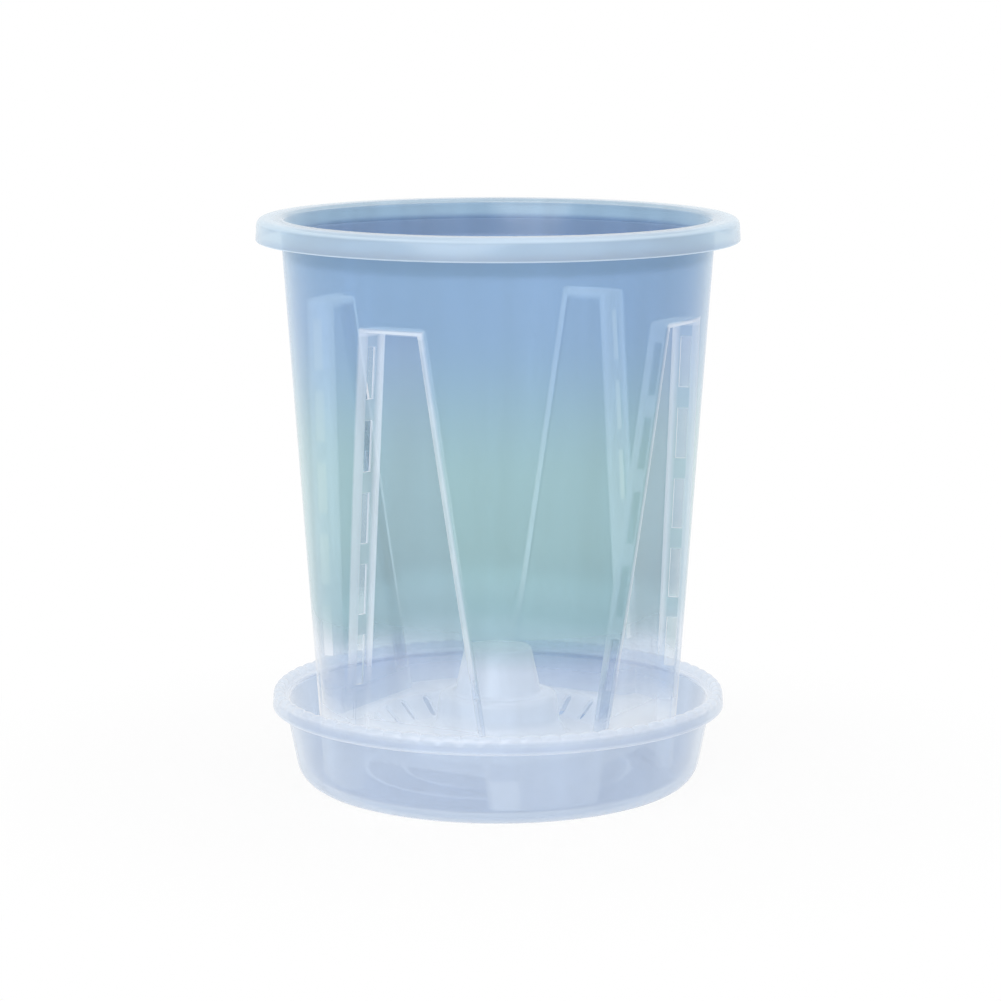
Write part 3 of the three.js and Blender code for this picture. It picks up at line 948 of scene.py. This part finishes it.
top_skin, top_pole = floor_skin(floor_path)
under_skin, under_pole = floor_skin(floor_under)
drain_cells = {i * (POT_COLUMNS_BETWEEN + 1) for i in range(DRAIN_SLOT_COUNT)}
first_drain = min(range(len(floor_path)), key=lambda i: abs(floor_path[i].x - drain_rows[0]))
drain_range = range(first_drain, first_drain + len(drain_rows) - 1)
for i in range(len(top_skin) - 1):
    holes = drain_cells if i in drain_range else set()
    join_rows(pot_shape, top_skin[i], top_skin[i + 1], holes)
    join_rows(pot_shape, under_skin[i + 1], under_skin[i], holes)
    wall_hole(pot_shape, under_skin[i], under_skin[i + 1], top_skin[i], top_skin[i + 1], holes,
              i == drain_range[0], i == drain_range[-1])
for skin, pole in ((top_skin, top_pole), (under_skin, under_pole)):
    for a, b in zip(skin[-1], skin[-1][1:] + skin[-1][:1]):
        pot_shape.faces.new((a, b, pole))
print("floor and wall:", len(pot_shape.faces), "faces")

# %% The ledge between floor and wall
# Its border has other columns inside than outside, so both skins are filled with triangles.
for wall, skin in ((inner_rows[floor_row + 1], top_skin[0]), (inner_rows[floor_row], under_skin[0])):
    border = []
    for row in (wall, skin):
        border += [pot_shape.edges.get((a, b)) for a, b in zip(row, row[1:] + row[:1])]
    bmesh.ops.triangle_fill(pot_shape, use_beauty=True, edges=border)
bmesh.ops.recalc_face_normals(pot_shape, faces=pot_shape.faces)
open_edges = sum(not e.is_manifold for e in pot_shape.edges)
print("pot:", len(pot_shape.faces), "faces, open or doubled edges:", open_edges)

# %% The pot as an object
SHARP_ANGLE = math.radians(40)


def finished(shape, name, material, body):
    """A smooth shaded object from a mesh, which rides on a body and stands for the node of that name."""
    mesh = bpy.data.meshes.new(name)
    shape.to_mesh(mesh)
    shape.free()
    mesh.polygons.foreach_set("use_smooth", [True] * len(mesh.polygons))
    mesh.set_sharp_from_angle(angle=SHARP_ANGLE)
    mesh.materials.append(material)
    piece = bpy.data.objects.new(name, mesh)
    bpy.context.scene.collection.objects.link(piece)
    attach(piece, body)
    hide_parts(body)
    return piece


pot_plastic = clear_polypropylene(
    "clear_polypropylene_pot",
    # The tint is darkest from 179 to 183 mm, just under the rim: painted shade. It is greener from 64 to
    # 110 mm and almost clear below 48 mm.
    tints={48: "#f0f5fb", 64: "#c8d8e0", 95: "#d0dfe7", 110: "#d0dfe7", 160: "#c8d7eb",
           176: "#c8d7eb", 179: "#a8bcd5", 183: "#a8bcd5", 186: "#d5e2ec"},
    milk_colours={45: "#f6faff", 80: "#eef5ff", 160: "#eef5ff", 180: "#e0f2ff"},
    hazes={"clear": 0.01, "edge": 0.3, "milk": 0.85},
    matt_colours={50: "#a8c8d0", 62: "#c2eef0", 95: "#d0fcf2", 110: "#d0fcf2", 160: "#bde8ff"},
    matt_share=0.28, roughness=0.18)
pot = finished(pot_shape, "moulded_pot", pot_plastic, "pot")
print("pot spans", [round(v, 4) for v in pot.dimensions])

# %% [markdown]
# ## The saucer
#
# The saucer is turned from one closed profile: foot ring, flaring wall, a turned-down lip, a bead
# along the top of the rim, and a floor with two raised circles. The bead is notched all round,
# which a formula does by drawing its surface in towards the bead's middle at each notch. Cutting
# the notches with bars would need a finer mesh to look as smooth.

# %% Sizes of the saucer
saucer_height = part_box("saucer")[1].z / MM
saucer_rim_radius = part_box("saucer")[1].x / MM
SAUCER_ROOM = 7.6
SAUCER_FLARE = 5.5
SAUCER_WALL = 1.4
SAUCER_CORNER = 9.0
LIP_HEIGHT = 6.0
LIP_WALL = 1.3
LIP_DRAFT = 0.5
LIP_EDGE = 1.3
BEAD_WIDTH = 3.6
BEAD_HEIGHT = 2.6
UNDER_BEAD = 1.6
SAUCER_FLOOR = 1.4
FOOT_RING_HEIGHT = 2.2
FOOT_RING_INSET = 3.9
FOOT_RING_ROUND = 0.5
RECESS_ROUND = 0.6
LIP_EDGE_ROUND = 0.4
BEAD_ROUND = BEAD_WIDTH / 2 - 0.01  # a little under half, so that its two arcs stay apart
BEAD_FOOT_ROUND = 0.3
UNDER_BEAD_ROUND = 0.6
CIRCLE_INSET = 7.4
CIRCLE_SPACING = 13.0
CIRCLE_WIDTH = 2.4
CIRCLE_HEIGHT = 0.8
CIRCLE_ROUND = 0.6

saucer_foot_radius = wall_radius(foot_z) + SAUCER_ROOM
saucer_top_radius = saucer_foot_radius + SAUCER_FLARE
bead_radius = saucer_rim_radius - LIP_DRAFT
bead_z = saucer_height - BEAD_HEIGHT
lip_z = saucer_height - LIP_HEIGHT
lip_top_z = bead_z - LIP_WALL
saucer_floor_z = FOOT_RING_HEIGHT + SAUCER_FLOOR
under_bead_share = UNDER_BEAD / (bead_z - saucer_floor_z)
recess_radius = wall_radius(foot_z) - FOOT_RING_INSET
corner_radius = math.hypot(indent_back(foot_z)[0] - POT_WALL, indent_back(foot_z)[1])
circle_radii = (corner_radius - CIRCLE_INSET, corner_radius - CIRCLE_INSET - CIRCLE_SPACING)
circles = []
for middle in circle_radii:
    circles += [(middle + CIRCLE_WIDTH / 2, saucer_floor_z, CIRCLE_ROUND),
                (middle, saucer_floor_z + CIRCLE_HEIGHT, CIRCLE_ROUND),
                (middle - CIRCLE_WIDTH / 2, saucer_floor_z, CIRCLE_ROUND)]
lip_heights = (lip_z + LIP_EDGE, bead_z)
print("raised circles at radii", [round(r, 1) for r in circle_radii])

# %% The saucer's profile
saucer_path = rounded_path([
    (0, FOOT_RING_HEIGHT),
    (recess_radius, FOOT_RING_HEIGHT, RECESS_ROUND),
    (recess_radius, 0, FOOT_RING_ROUND),
    (saucer_foot_radius, 0, SAUCER_CORNER),
    (saucer_top_radius, lip_top_z, LIP_WALL),
    (bead_radius - LIP_WALL, lip_top_z, LIP_WALL),
    (saucer_rim_radius - LIP_WALL, lip_z, LIP_EDGE_ROUND),
    (saucer_rim_radius, lip_z, LIP_EDGE_ROUND),
    *[(saucer_rim_radius - LIP_DRAFT * (z - lip_z) / LIP_HEIGHT, z) for z in lip_heights],
    (bead_radius, saucer_height, BEAD_ROUND),
    (bead_radius - BEAD_WIDTH, saucer_height, BEAD_ROUND),
    (bead_radius - BEAD_WIDTH, bead_z, BEAD_FOOT_ROUND),
    (saucer_top_radius - SAUCER_WALL, bead_z, UNDER_BEAD_ROUND),
    (saucer_top_radius - SAUCER_WALL - SAUCER_FLARE * under_bead_share, bead_z - UNDER_BEAD),
    (saucer_foot_radius - SAUCER_WALL, saucer_floor_z, SAUCER_CORNER - saucer_floor_z),
    *circles,
    (0, saucer_floor_z),
])
print("saucer profile:", len(saucer_path), "points")

# %% The notched bead
NOTCH_COUNT = 72
NOTCH_DEPTH = 0.6
NOTCH_COLUMNS = 8
LOBE_POWER = 0.7

bead_middle = Vector((bead_radius - BEAD_WIDTH / 2, saucer_height - BEAD_WIDTH / 2))
saucer_columns = NOTCH_COUNT * NOTCH_COLUMNS


def notched(point, angle):
    """A profile point at an angle round the saucer, drawn in towards the bead's middle at each notch."""
    rise = max(min((point.y - bead_z) / (BEAD_HEIGHT / 2), 1.0), 0.0)
    lobe = abs(math.sin(angle * NOTCH_COUNT / 2)) ** LOBE_POWER
    away = point - bead_middle
    depth = NOTCH_DEPTH * rise * (1 - lobe)
    return bead_middle + away * (1 - depth / away.length) if depth else point


print("notches", round(2 * math.pi * bead_radius / NOTCH_COUNT, 2), "mm apart")

# %% [markdown]
# The saucer is clear in its wall and floor, and milky where it is thick: in the bead and on the
# raised circles. The lip's lower edge is as milky as the bead, as painted highlight.

# %% The saucer's faces
WALL_MILK = 0.0
CREST_MILK = 0.8
LIP_MILK = 0.42
BEAD_MILK_AND_EDGE_HIGHLIGHT = 1.0


def saucer_milk(point):
    """How milky the saucer is at a point of its profile."""
    under_bead = point.y > bead_z - UNDER_BEAD / 2 and point.x < bead_radius
    in_bead = point.y > bead_z + ROUNDING_ROOM or under_bead
    at_highlit_lip_edge = point.x > saucer_top_radius and point.y < lip_z + LIP_WALL / 2
    is_inner = point.x < circle_radii[0] + CIRCLE_WIDTH
    on_circle = is_inner and point.y > saucer_floor_z + CIRCLE_HEIGHT / 4
    if in_bead or at_highlit_lip_edge:
        return BEAD_MILK_AND_EDGE_HIGHLIGHT
    if on_circle:
        return CREST_MILK
    return LIP_MILK if point.x > saucer_top_radius else WALL_MILK


saucer_shape = new_shape()
top_index = max(range(len(saucer_path)), key=lambda i: saucer_path[i].y)
saucer_rows = []
for index, point in list(enumerate(saucer_path))[1:-1]:
    milk = saucer_milk(point)
    matt = 1 - milk if index < top_index else 0.0
    ring = []
    for i in range(saucer_columns):
        angle = 2 * math.pi * i / saucer_columns
        place = notched(point, angle)
        ring.append((place.x * math.cos(angle), place.x * math.sin(angle), place.y, milk, matt))
    saucer_rows.append(add_row(saucer_shape, ring))
for low, high in zip(saucer_rows, saucer_rows[1:]):
    join_rows(saucer_shape, low, high)
for row, point in ((saucer_rows[0], saucer_path[0]), (saucer_rows[-1], saucer_path[-1])):
    pole = add_row(saucer_shape, [(0, 0, point.y, WALL_MILK, 0.0)])[0]
    for a, b in zip(row, row[1:] + row[:1]):
        saucer_shape.faces.new((a, b, pole))
bmesh.ops.recalc_face_normals(saucer_shape, faces=saucer_shape.faces)
open_edges = sum(not e.is_manifold for e in saucer_shape.edges)
print("saucer:", len(saucer_shape.faces), "faces, open or doubled edges:", open_edges)

# %% The saucer as an object
saucer_plastic = clear_polypropylene(
    "clear_polypropylene_saucer",
    tints={2: "#d0dcec", 8: "#dee7f3"},
    milk_colours={0: "#eef5fe"},
    hazes={"clear": 0.02, "edge": 0.3, "milk": 0.6},
    matt_colours={0: "#eaf4ff"}, matt_share=0.28, roughness=0.12)
saucer = finished(saucer_shape, "moulded_saucer", saucer_plastic, "saucer")
print("saucer spans", [round(v, 4) for v in saucer.dimensions])
